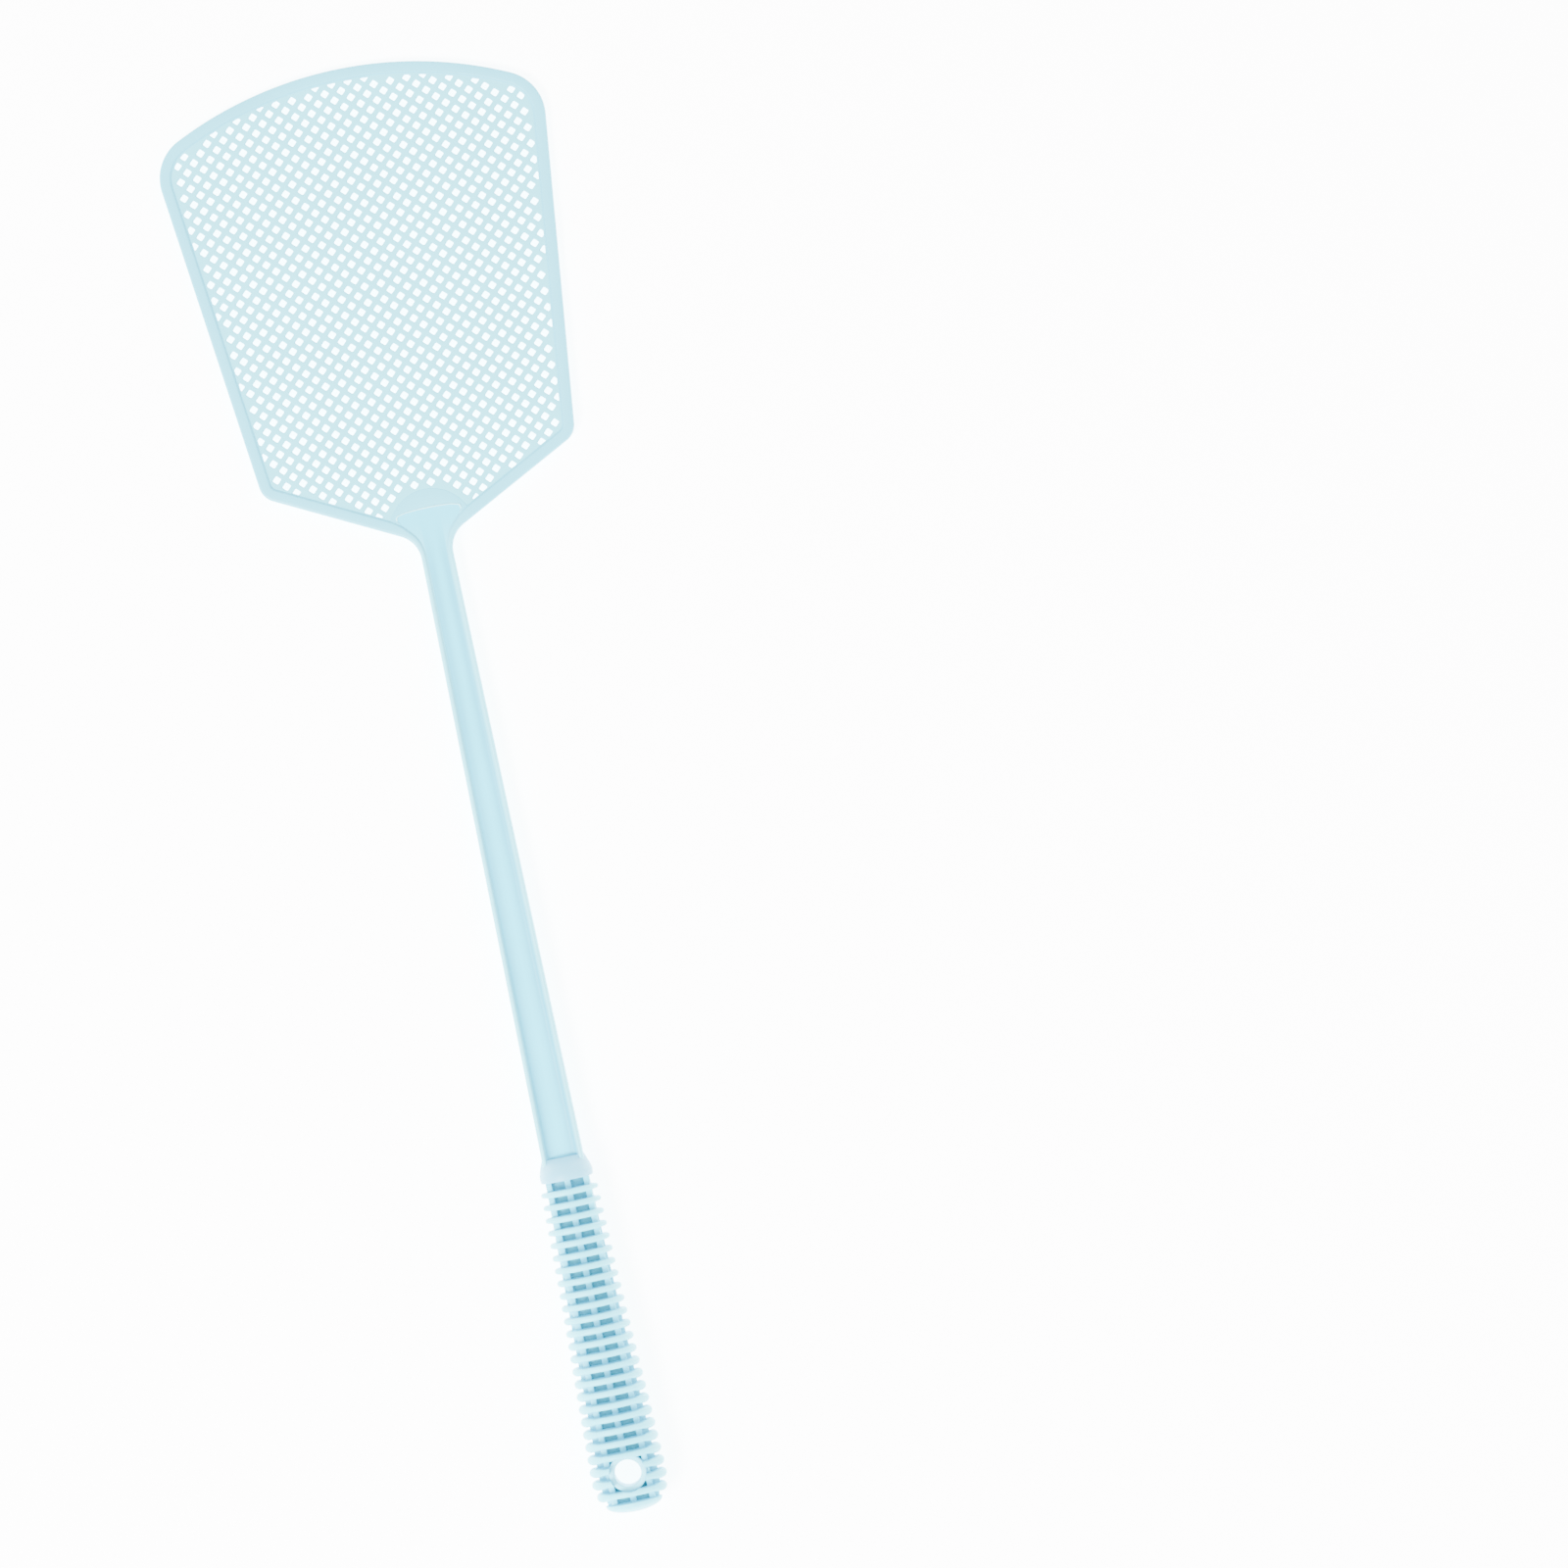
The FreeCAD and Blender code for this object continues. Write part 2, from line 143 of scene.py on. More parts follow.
def smooth_rows(rows, y):
    """Smooth (monotone cubic) reading of a table with several columns."""
    rows = sorted(rows)
    x = np.array([r[0] for r in rows])
    out = []
    for c in range(1, len(rows[0])):
        v = np.array([r[c] for r in rows])
        d = np.diff(v) / np.diff(x)
        m = np.zeros(len(x))
        for i in range(1, len(x) - 1):
            if d[i - 1] * d[i] > 0:
                w1, w2 = 2 * (x[i + 1] - x[i]) + (x[i] - x[i - 1]), (x[i + 1] - x[i]) + 2 * (x[i] - x[i - 1])
                m[i] = (w1 + w2) / (w1 / d[i - 1] + w2 / d[i])
        m[0], m[-1] = d[0], d[-1]
        i = int(np.clip(np.searchsorted(x, y) - 1, 0, len(x) - 2))
        h = x[i + 1] - x[i]
        t = (y - x[i]) / h
        out.append(float((2 * t ** 3 - 3 * t ** 2 + 1) * v[i] + (t ** 3 - 2 * t ** 2 + t) * h * m[i]
                         + (-2 * t ** 3 + 3 * t ** 2) * v[i + 1] + (t ** 3 - t ** 2) * h * m[i + 1]))
    return out


# ------------------------------------------------------------------- materials
def plastic(name, colour, far=None, ledge=None, gloss=0.40):
    """Satin, slightly milky polypropylene with a fine moulded texture. With far,
    the tone carries painted shade along the channelled shaft, darker towards the
    foot of each flange, with a painted lighter tone on the flange tops, and ends
    in far on the flap."""
    m = bpy.data.materials.new(name)
    m.use_nodes = True
    nt = m.node_tree
    nt.nodes.clear()
    new, link = nt.nodes.new, nt.links.new
    out = new("ShaderNodeOutputMaterial")
    bsdf = new("ShaderNodeBsdfPrincipled")
    link(bsdf.outputs["BSDF"], out.inputs["Surface"])
    coord = new("ShaderNodeTexCoord")
    # broad, barely visible drift of tone, as the flow of the melt gives
    drift = new("ShaderNodeTexNoise")
    drift.inputs["Scale"].default_value = 38.0
    drift.inputs["Detail"].default_value = 3.0
    drift.inputs["Roughness"].default_value = 0.5
    link(coord.outputs["Object"], drift.inputs["Vector"])
    level = new("ShaderNodeMapRange")
    level.inputs["From Min"].default_value = 0.30
    level.inputs["From Max"].default_value = 0.72
    level.inputs["To Min"].default_value = 0.97
    level.inputs["To Max"].default_value = 1.03
    link(drift.outputs["Fac"], level.inputs["Value"])
    tint = new("ShaderNodeVectorMath")
    tint.operation = "SCALE"
    tint.inputs["Vector"].default_value = colour
    link(level.outputs["Result"], tint.inputs["Scale"])
    if far:
        place = new("ShaderNodeSeparateXYZ")
        link(coord.outputs["Object"], place.inputs["Vector"])
        wide = new("ShaderNodeMapRange")
        wide.inputs["From Min"].default_value = 0.0944
        wide.inputs["From Max"].default_value = 0.272
        wide.inputs["To Min"].default_value = 0.00470
        wide.inputs["To Max"].default_value = 0.00325
        link(place.outputs["Y"], wide.inputs["Value"])
        side = new("ShaderNodeMath")
        side.operation = "ABSOLUTE"
        link(place.outputs["X"], side.inputs[0])
        gap = new("ShaderNodeMath")
        gap.operation = "SUBTRACT"
        link(side.outputs["Value"], gap.inputs[0])
        link(wide.outputs["Result"], gap.inputs[1])
        span = new("ShaderNodeMapRange")
        span.inputs["From Min"].default_value = -0.0041
        span.inputs["From Max"].default_value = 0.0003
        link(gap.outputs["Value"], span.inputs["Value"])
        # painted shade and light: the ramp darkens the channel floor and flange foot towards each inner wall and
        # lightens the flange tops
        ramp = new("ShaderNodeValToRGB")
        shade_and_light_stops = [(0.0, (0.028, 0.670, 0.885)), (0.30, (0.030, 0.610, 0.815)), (0.60, (0.030, 0.480, 0.660)),
                 (0.84, (0.035, 0.480, 0.660)), (0.95, (0.170, 0.700, 0.840))]
        ramp.color_ramp.elements[0].position, ramp.color_ramp.elements[1].position = shade_and_light_stops[0][0], shade_and_light_stops[-1][0]
        for pos, _ in shade_and_light_stops[1:-1]:
            ramp.color_ramp.elements.new(pos)
        for el, (_, c) in zip(ramp.color_ramp.elements, shade_and_light_stops):
            el.color = (*c, 1)
        link(span.outputs["Result"], ramp.inputs["Fac"])
        up = new("ShaderNodeMapRange")
        up.interpolation_type = "SMOOTHSTEP"
        up.inputs["From Min"].default_value = 0.266
        up.inputs["From Max"].default_value = 0.286
        link(place.outputs["Y"], up.inputs["Value"])
        blend = new("ShaderNodeMix")
        blend.data_type = "RGBA"
        blend.inputs[7].default_value = (*far, 1)
        link(up.outputs["Result"], blend.inputs[0])
        link(ramp.outputs["Color"], blend.inputs[6])
        link(blend.outputs[2], tint.inputs["Vector"])
    if ledge:
        # the ledge outside the side ribs is open to the light
        place = new("ShaderNodeSeparateXYZ")
        link(coord.outputs["Object"], place.inputs["Vector"])
        side = new("ShaderNodeMath")
        side.operation = "ABSOLUTE"
        link(place.outputs["X"], side.inputs[0])
        out_of = new("ShaderNodeMapRange")
        out_of.inputs["From Min"].default_value = 0.0058
        out_of.inputs["From Max"].default_value = 0.0064
        link(side.outputs["Value"], out_of.inputs["Value"])
        blend = new("ShaderNodeMix")
        blend.data_type = "RGBA"
        blend.inputs[6].default_value = (*colour, 1)
        blend.inputs[7].default_value = (*ledge, 1)
        link(out_of.outputs["Result"], blend.inputs[0])
        link(blend.outputs[2], tint.inputs["Vector"])
    colour = tint.outputs["Vector"]
    link(colour, bsdf.inputs["Base Color"])
    # roughness varies a little with the texture of the mould
    grain = new("ShaderNodeTexNoise")
    grain.inputs["Scale"].default_value = 2600.0
    grain.inputs["Detail"].default_value = 2.0
    grain.inputs["Roughness"].default_value = 0.6
    link(coord.outputs["Object"], grain.inputs["Vector"])
    patch = new("ShaderNodeTexNoise")
    patch.inputs["Scale"].default_value = 160.0
    patch.inputs["Detail"].default_value = 4.0
    link(coord.outputs["Object"], patch.inputs["Vector"])
    rough = new("ShaderNodeMapRange")
    rough.inputs["From Min"].default_value = 0.3
    rough.inputs["From Max"].default_value = 0.7
    rough.inputs["To Min"].default_value = 0.36
    rough.inputs["To Max"].default_value = 0.47
    link(patch.outputs["Fac"], rough.inputs["Value"])
    link(rough.outputs["Result"], bsdf.inputs["Roughness"])
    # fine grain and a very shallow sink in the surface
    sink = new("ShaderNodeBump")
    sink.inputs["Strength"].default_value = 0.10
    sink.inputs["Distance"].default_value = 0.0006
    link(patch.outputs["Fac"], sink.inputs["Height"])
    bump = new("ShaderNodeBump")
    bump.inputs["Strength"].default_value = 0.12
    bump.inputs["Distance"].default_value = 0.00006
    link(grain.outputs["Fac"], bump.inputs["Height"])
    link(sink.outputs["Normal"], bump.inputs["Normal"])
    link(bump.outputs["Normal"], bsdf.inputs["Normal"])
    bsdf.inputs["IOR"].default_value = 1.49
    bsdf.inputs["Specular IOR Level"].default_value = gloss
    return m


PLASTIC = plastic("moulding_plastic", (0.085, 0.550, 0.710))
LATTICE = plastic("moulding_lattice", (0.130, 0.600, 0.735), gloss=0.08)
# painted shade: the channel floor darkens towards each inner wall
CHANNEL_PAINTED_SHADE = plastic("moulding_channel_painted_shade", (0.028, 0.670, 0.885), (0.030, 0.620, 0.830))
# painted light and shade: the flange tops get a lighter tone and the flange feet a darker one
BAND_PAINTED_LIGHT_AND_SHADE = plastic("moulding_band_painted_light_and_shade", (0.170, 0.700, 0.840), (0.085, 0.540, 0.705))
COLLAR_TONE = plastic("moulding_collar", (0.130, 0.530, 0.735))
# painted highlight: the bead gets a lighter tone so it reads as a light line
BEAD_PAINTED_HIGHLIGHT = plastic("moulding_bead_painted_highlight", (0.300, 0.810, 0.905))
# painted light: the fins and end cap get a lighter tone than the plain plastic, for their lit faces
FIN = plastic("moulding_fin_painted_light", (0.115, 0.710, 0.865))
# painted light: the hang ring gets a lighter tone than the plain plastic
RING_PAINTED_LIGHT = plastic("moulding_ring_painted_light", (0.200, 0.740, 0.880))
# painted shade: the grip web down in the deep pockets gets a dark tone, and the ledge outside the side ribs a lighter
# one
GRIP_CORE_PAINTED_SHADE = plastic("moulding_grip_core_painted_shade", (0.016, 0.420, 0.510), ledge=(0.100, 0.680, 0.820))
# painted shade: the ribs down in the pockets get a tone between the shaded web and the fins
RIB = plastic("moulding_grip_rib_painted_shade", (0.080, 0.640, 0.790))
TONES = {"channel_floor": CHANNEL_PAINTED_SHADE, "flange_right": BAND_PAINTED_LIGHT_AND_SHADE, "flange_left": BAND_PAINTED_LIGHT_AND_SHADE, "flap_rim_band": BAND_PAINTED_LIGHT_AND_SHADE, "pan_bead": BEAD_PAINTED_HIGHLIGHT,
         "fins": FIN, "fins_at_eye": FIN, "hang_ring": RING_PAINTED_LIGHT, "grip_end_cap": FIN, "grip_floor": GRIP_CORE_PAINTED_SHADE,
         "centre_rib": RIB, "side_rib_left": RIB, "side_rib_right": RIB, "gate_witness": CHANNEL_PAINTED_SHADE,
         "lattice": LATTICE, "collar_dome": COLLAR_TONE}

# --------------------------------------------------------------- flap outline
def unit(dx, dy):
    k = math.hypot(dx, dy)
    return dx / k, dy / k


def offset_line(line, d):
    (px, py), (dx, dy) = line
    return (px - dy * d, py + dx * d), (dx, dy)


def meet(a, b):
    (p, d), (q, e) = a, b
    det = d[0] * -e[1] + d[1] * e[0]
    t = ((q[0] - p[0]) * -e[1] + (q[1] - p[1]) * e[0]) / det
    return p[0] + d[0] * t, p[1] + d[1] * t


def foot(line, c):
    p, d = line
    t = (c[0] - p[0]) * d[0] + (c[1] - p[1]) * d[1]
    return p[0] + d[0] * t, p[1] + d[1] * t


def half_outline(off, step=1.1, low_y=None):
    """Right half of the outline moved in by off, from the crown down: rows of
    x, y and the inward normal."""
    top_c, top_r = (0.0, FLAP_TOP_Y - TOP_RADIUS), TOP_RADIUS - off
    side = offset_line((SIDE_HIGH, unit(SIDE_LOW[0] - SIDE_HIGH[0], SIDE_LOW[1] - SIDE_HIGH[1])), -off)
    sh = unit(-40.0, -40.0 * SHOULDER_SLOPE)
    shoulder = offset_line(((40.0, SHOULDER_Y0 + 40 * SHOULDER_SLOPE), sh), -off)
    r1, r2 = TOP_CORNER_R - off, LOW_CORNER_R - off
    (px, py), (dx, dy) = offset_line(side, -r1)
    fx, fy = px - top_c[0], py - top_c[1]
    b, c = fx * dx + fy * dy, fx * fx + fy * fy - (top_r - r1) ** 2
    t = -b - math.sqrt(b * b - c)
    c1 = (px + dx * t, py + dy * t)
    n = math.hypot(c1[0] - top_c[0], c1[1] - top_c[1])
    t1 = (top_c[0] + (c1[0] - top_c[0]) * top_r / n, top_c[1] + (c1[1] - top_c[1]) * top_r / n)
    t2 = foot(side, c1)
    c2 = meet(offset_line(side, -r2), offset_line(shoulder, -r2))
    t3, t4 = foot(side, c2), foot(shoulder, c2)
    rows = []

    def add_arc(cen, r, p, q, gap, inward):
        a0, a1 = math.atan2(p[1] - cen[1], p[0] - cen[0]), math.atan2(q[1] - cen[1], q[0] - cen[0])
        if inward < 0 and a1 > a0:
            a1 -= 2 * math.pi
        if inward > 0 and a1 < a0:
            a1 += 2 * math.pi
        k = max(3, int(abs(a1 - a0) * r / gap))
        for i in range(k + 1):
            a = a0 + (a1 - a0) * i / k
            s = -1 if inward < 0 else 1
            rows.append((cen[0] + r * math.cos(a), cen[1] + r * math.sin(a), s * math.cos(a), s * math.sin(a)))

    def add_line(p, q, gap):
        dx, dy = unit(q[0] - p[0], q[1] - p[1])
        k = max(2, int(math.hypot(q[0] - p[0], q[1] - p[1]) / gap))
        for i in range(k + 1):
            rows.append((p[0] + (q[0] - p[0]) * i / k, p[1] + (q[1] - p[1]) * i / k, dy, -dx))

    add_arc(top_c, top_r, (0.0, top_c[1] + top_r), t1, step * 1.6, -1)
    add_arc(c1, r1, t1, t2, step * 0.7, -1)
    add_line(t2, t3, step * 3.0)
    add_arc(c2, r2, t3, t4, step * 0.45, -1)
    if low_y is None:
        add_line(t4, (0.0, meet(shoulder, ((0.0, 0.0), (0.0, 1.0)))[1]), step)
    else:
        shaft = (SHAFT_HIGH, unit(SHAFT_LOW[0] - SHAFT_HIGH[0], SHAFT_LOW[1] - SHAFT_HIGH[1]))
        c3 = meet(offset_line(shaft, NECK_FILLET_R), offset_line(shoulder, NECK_FILLET_R))
        t5, t6 = foot(shoulder, c3), foot(shaft, c3)
        add_line(t4, t5, step)
        add_arc(c3, NECK_FILLET_R, t5, t6, step * 0.5, 1)
        add_line(t6, meet(shaft, ((0.0, low_y), (1.0, 0.0))), step * 3.0)
    out = [rows[0]]
    for r in rows[1:]:
        if math.hypot(r[0] - out[-1][0], r[1] - out[-1][1]) > 0.02:
            out.append(r)
    return out


# pan outline, right half, from the shaft up to the centre line
PAN = [(3.25, 272.0), (3.35, 274.6), (3.67, 276.6), (4.40, 278.6), (5.60, 280.4), (7.20, 282.1), (8.70, 283.6)]
PAN_CORNER = arc(8.2, 285.4, 1.1, -45, 95, 12)


def pan_x(y):
    """Half width of the channel and pan below the corner."""
    if y <= 272.0:
        return float(np.interp(y, [SHAFT_LOW[1], 272.0], [SHAFT_LOW[0] - FLANGE_W[0], 3.25]))
    return smooth_rows([(b, a) for a, b in PAN], min(y, 283.6))[0]


pan_right = [(pan_x(y), y) for y in list(np.linspace(88.0, 268.0, 37)) + list(np.linspace(270.0, 283.6, 48))]
pan_top = PAN_CORNER + [(x, 287.1 - 0.15 * (x / 5.0) ** 2 if x < 5 else 286.95 - 0.45 * ((x - 5) / 3.1) ** 2)
                        for x in np.linspace(7.4, 0.0, 16)]

# ------------------------------------------------------- rim and shaft flanges
outer = half_outline(0.0, low_y=88.6)
inner_curve = np.array([(p[0], p[1]) for p in pan_right] + [(8.98, 284.05), (9.35, 284.42), (9.8, 284.68)]
                       + [(x, SHOULDER_Y0 + SHOULDER_SLOPE * x + RIM_WIDTH / math.cos(math.atan(SHOULDER_SLOPE)))
                          for x in np.linspace(10.4, 30.0, 30)])


def ray_width(px, py, nx, ny):
    best = None
    a, b = inner_curve[:-1], inner_curve[1:]
    d = b - a
    det = nx * -d[:, 1] + ny * d[:, 0]
    ok = np.abs(det) > 1e-9
    t = np.where(ok, ((a[:, 0] - px) * -d[:, 1] + (a[:, 1] - py) * d[:, 0]) / np.where(ok, det, 1), 1e9)
    s = np.where(ok, (nx * (a[:, 1] - py) - ny * (a[:, 0] - px)) / np.where(ok, det, 1), -1)
    good = ok & (s >= -1e-6) & (s <= 1 + 1e-6) & (t > 0.3) & (t < 8)
    return float(t[good].min()) if good.any() else RIM_WIDTH


width = []
for x, y, nx, ny in outer:
    width.append(ray_width(x, y, nx, ny) if (y < 292 and x < 16) else RIM_WIDTH)
width = np.array(width)
for _ in range(3):
    k = np.array([(r[1] < 290 and r[1] > 262) for r in outer])
    sm = width.copy()
    sm[1:-1] = (width[:-2] + 2 * width[1:-1] + width[2:]) / 4
    width = np.where(k, sm, width)


def half_t(y):
    return float(np.interp(y, [SHAFT_LOW[1], 276.0], [3.0, RIM_HALF_T]))


def foot_size(y):
    return float(np.interp(y, [94.0, 262.0, 276.0, 284.0], [1.75, 0.85, 0.45, 0.36]))


def band_section(w, h, floor, ro=0.72, ri=0.5, skirt=0.42):
    """Half section from the outer edge (t = 0) inwards, front half, as (t, z)."""
    p = [(0.004, 0.0), (0.02, 0.35), (0.06, h - ro)]
    p += [(0.06 + ro * (1 - math.cos(a)), h - ro + (ro - 0.035) * math.sin(a))
          for a in np.radians([18, 36, 54, 72])]
    p += [(0.06 + ro, h - 0.035), (w * 0.5 + 0.06, h - 0.012), (w - ri - 0.18, h - 0.035)]
    p += [(w - ri - 0.18 + ri * math.sin(a), h - ri + (ri - 0.035) * math.cos(a))
          for a in np.radians([18, 36, 54, 70])]
    # the foot is an ellipse quarter that meets the floor flush
    tall = min(skirt * 1.15, h - ri * 0.75 - floor)
    p += [(w - 0.10 + skirt * (1 - math.cos(a)), floor + tall * (1 - math.sin(a)))
          for a in np.radians([8, 20, 32, 44, 56, 68, 80])]
    p += [(w - 0.10 + skirt, floor - 0.03), (w + 0.30, floor - 0.30), (w + 0.30, 0.0)]
    return p


def band_ring(row, w, sx):
    x, y, nx, ny = row
    floor = MESH_HALF_T if y > 284 and x > 10.5 else WEB_HALF_T
    p = band_section(w, half_t(y), floor, skirt=foot_size(y))
    full = p + [(t, -z) for t, z in reversed(p[1:-1])]
    return [(sx * (x + nx * t), y + ny * t, z) for t, z in full]


split = min(i for i, r in enumerate(outer) if r[0] + r[2] * width[i] / 2 < 9.4 and r[1] < 300)
right_rings = [band_ring(r, w, 1) for r, w in zip(outer, width)]
left_rings = [band_ring(r, w, -1) for r, w in zip(outer, width)]
rim = Build()
rim.loft(list(reversed(left_rings[:split + 1])) + right_rings[1:split + 1])
make("flap_rim_band", rim.v, rim.f, ["flap_rim"])
make("flange_right", *(lambda b: (b.v, b.f))(Build().loft(right_rings[split:])), ["shaft_flange_right"])
make("flange_left", *(lambda b: (b.v, b.f))(Build().loft(left_rings[split:])), ["shaft_flange_left"])


# --------------------------------------------------------------------- lattice
def clip(poly, n, d):
    out = []
    m = len(poly)
    for i in range(m):
        p, q = poly[i], poly[(i + 1) % m]
        a, b = n[0] * p[0] + n[1] * p[1] - d, n[0] * q[0] + n[1] * q[1] - d
        if a <= 0:
            out.append(p)
        if (a < 0 < b) or (b < 0 < a):
            t = a / (a - b)
            out.append((p[0] + (q[0] - p[0]) * t, p[1] + (q[1] - p[1]) * t))
    return out


def area(poly):
    return 0.5 * sum(p[0] * q[1] - q[0] * p[1] for p, q in zip(poly, poly[1:] + poly[:1]))


def limits_of(off):
    half = half_outline(off, step=2.2)
    pts = [(-r[0], r[1]) for r in reversed(half[1:-1])] + [(r[0], r[1]) for r in half]
    lim = []
    for a, b in zip(pts, pts[1:] + pts[:1]):
        dx, dy = b[0] - a[0], b[1] - a[1]
        k = math.hypot(dx, dy)
        if k < 1e-3:
            continue
        nx, ny = dy / k, -dx / k
        if nx * a[0] + ny * (a[1] - 350) < 0:
            nx, ny = -nx, -ny
        lim.append(((nx, ny), nx * a[0] + ny * a[1]))
    return lim


def lattice():
    cell_limits, hole_limits = limits_of(RIM_WIDTH - 0.25), limits_of(RIM_WIDTH + LAND)
    hx, hy = PITCH_X / 2, PITCH_Y / 2
    bx, by = hx * 0.56, hy * 0.56
    full = 2 * (hx * 0.6) * (hy * 0.6)
    steps = [(0.0, .85), (.58, .85), (.76, .835), (.88, .78), (.95, .67), (.985, .48), (1.0, 0.0)]
    verts, faces, count = [], [], 0
    q = 7.0

    def plate_t(x, y):
        r = math.hypot(x, y - FAN_CY)
        return float(np.interp(r, [11.6, 12.5], [0.55, MESH_HALF_T]))

    for i in range(-26, 27):
        for j in range(-32, 31):
            if (i + j) % 2:
                continue
            cx, cy = i * hx, LATTICE_Y0 + j * hy
            corner = [(cx + hx, cy), (cx, cy + hy), (cx - hx, cy), (cx, cy - hy)]
            cell = []
            for a, b in zip(corner, corner[1:] + corner[:1]):
                cell += [(a[0] + (b[0] - a[0]) * k / 6, a[1] + (b[1] - a[1]) * k / 6) for k in range(6)]
            for n, d in cell_limits:
                cell = clip(cell, n, d)
                if len(cell) < 3:
                    break
            if len(cell) < 3 or abs(area(cell)) < 0.02:
                continue
            hole = [(cx + bx, cy), (cx, cy + by), (cx - bx, cy), (cx, cy - by)]
            for n, d in hole_limits:
                hole = clip(hole, n, d)
                if len(hole) < 3:
                    break
            rx, ry = cx, cy - FAN_CY
            r = math.hypot(rx, ry)
            if len(hole) >= 3 and r < FAN_R + 6:
                hole = clip(hole, (-rx / r, -ry / r), -(FAN_R + LAND) - ry / r * FAN_CY)
            clean = []
            if len(hole) >= 3:
                clean = [a for a, b in zip(hole, hole[1:] + hole[:1]) if math.hypot(a[0] - b[0], a[1] - b[1]) > 0.05]
            keep = len(clean) >= 3 and abs(area(clean)) > 0.36 * full
            n = len(cell)
            base = len(verts)
            if keep:
                count += 1
                s = 0.5 * sum(a[0] * b[1] - b[0] * a[1] for a, b in zip(clean, clean[1:] + clean[:1]))
                gx = sum((a[0] + b[0]) * (a[0] * b[1] - b[0] * a[1]) for a, b in zip(clean, clean[1:] + clean[:1])) / (6 * s)
                gy = sum((a[1] + b[1]) * (a[0] * b[1] - b[0] * a[1]) for a, b in zip(clean, clean[1:] + clean[:1])) / (6 * s)
                sides = []
                for a, b in zip(clean, clean[1:] + clean[:1]):
                    dx, dy = unit(b[0] - a[0], b[1] - a[1])
                    nx, ny = dy, -dx
                    d = nx * (a[0] - gx) + ny * (a[1] - gy)
                    if d < 0:
                        nx, ny, d = -nx, -ny, -d
                    sides.append((nx, ny, max(d, 0.12)))
                hole_pts = []
                for px, py in cell:
                    ux, uy = unit(px - gx, py - gy)
                    g = sum(max(0.0, nx * ux + ny * uy) ** q / d ** q for nx, ny, d in sides) ** (1 / q)
                    hole_pts.append((gx + ux / g, gy + uy / g))
                for f, z in steps:
                    for (px, py), (ox, oy) in zip(cell, hole_pts):
                        x, y = px + (ox - px) * f, py + (oy - py) * f
                        verts.append((x, y, z * plate_t(x, y) / 0.85))
                for s_ in range(len(steps) - 1):
                    a, b = base + s_ * n, base + (s_ + 1) * n
                    for k in range(n):
                        k2 = (k + 1) % n
                        faces.append((a + k, a + k2, b + k2, b + k))
            else:
                gx, gy = sum(p[0] for p in cell) / n, sum(p[1] for p in cell) / n
                for f in (0.0, 0.35, 0.7):
                    for px, py in cell:
                        x, y = px + (gx - px) * f, py + (gy - py) * f
                        verts.append((x, y, plate_t(x, y)))
                for s_ in range(2):
                    a, b = base + s_ * n, base + (s_ + 1) * n
                    for k in range(n):
                        k2 = (k + 1) % n
                        faces.append((a + k, a + k2, b + k2, b + k))
                verts.append((gx, gy, plate_t(gx, gy)))
                c = len(verts) - 1
                a = base + 2 * n
                for k in range(n):
                    faces.append((a + k, a + (k + 1) % n, c))
    v = np.array(verts)
    key = np.floor((v + 0.0013717) / 0.006).astype(np.int64)
    _, first, inverse = np.unique(key, axis=0, return_index=True, return_inverse=True)
    inverse = np.asarray(inverse).reshape(-1)
    v = v[first]
    out = []
    for f in faces:
        g = [int(inverse[k]) for k in f]
        h = [a for a, b in zip(g, g[1:] + g[:1]) if a != b]
        if len(set(h)) == len(h) and len(h) >= 3:
            out.append(tuple(h))
    # close the outer border down to the mid-plane
    seen = {}
    for f in out:
        for a, b in zip(f, f[1:] + f[:1]):
            seen[(min(a, b), max(a, b))] = seen.get((min(a, b), max(a, b)), 0) + 1
    border = [e for e, k in seen.items() if k == 1 and (v[e[0], 2] > 0.05 or v[e[1], 2] > 0.05)]
    extra, low = [], {}
    for e in border:
        for k in e:
            if k not in low:
                low[k] = len(v) + len(extra)
                extra.append((v[k, 0], v[k, 1], 0.0))
    v = np.vstack([v, np.array(extra)])
    out += [(a, b, low[b], low[a]) for a, b in border]
    # the back is the mirror image; points on the mid-plane are shared
    flat = v[:, 2] < 0.004
    v[flat, 2] = 0.0
    twin = np.arange(len(v))
    rest = np.where(~flat)[0]
    twin[rest] = len(v) + np.arange(len(rest))
    back = v[rest] * np.array([1, 1, -1])
    v2 = np.vstack([v, back])
    out += [tuple(int(twin[k]) for k in reversed(f)) for f in out]
    return v2, out, count


lv, lf, openings = lattice()
print("lattice openings", openings, "points", len(lv))
make("lattice", lv, lf, ["flap_mesh"], angle=50, merge=0.004)

# ------------------------------------------------------------ neck fan and pan
def pan_radius(theta):
    """Distance from the fan centre to the top of the pan."""
    pts = [(9.0, 284.4)] + pan_top
    pts = pts + [(-x, y) for x, y in reversed(pts[:-1])]
    ux, uy = math.cos(theta), math.sin(theta)
    best = 9.6
    for (ax, ay), (bx_, by_) in zip(pts, pts[1:]):
        dx, dy = bx_ - ax, by_ - ay
        det = ux * -dy + uy * dx
        if abs(det) < 1e-9:
            continue
        t = (ax * -dy + (ay - FAN_CY) * dx) / det
        s = (ux * (ay - FAN_CY) - uy * ax) / det
        if -1e-6 <= s <= 1 + 1e-6 and t > 0:
            return t
    return best


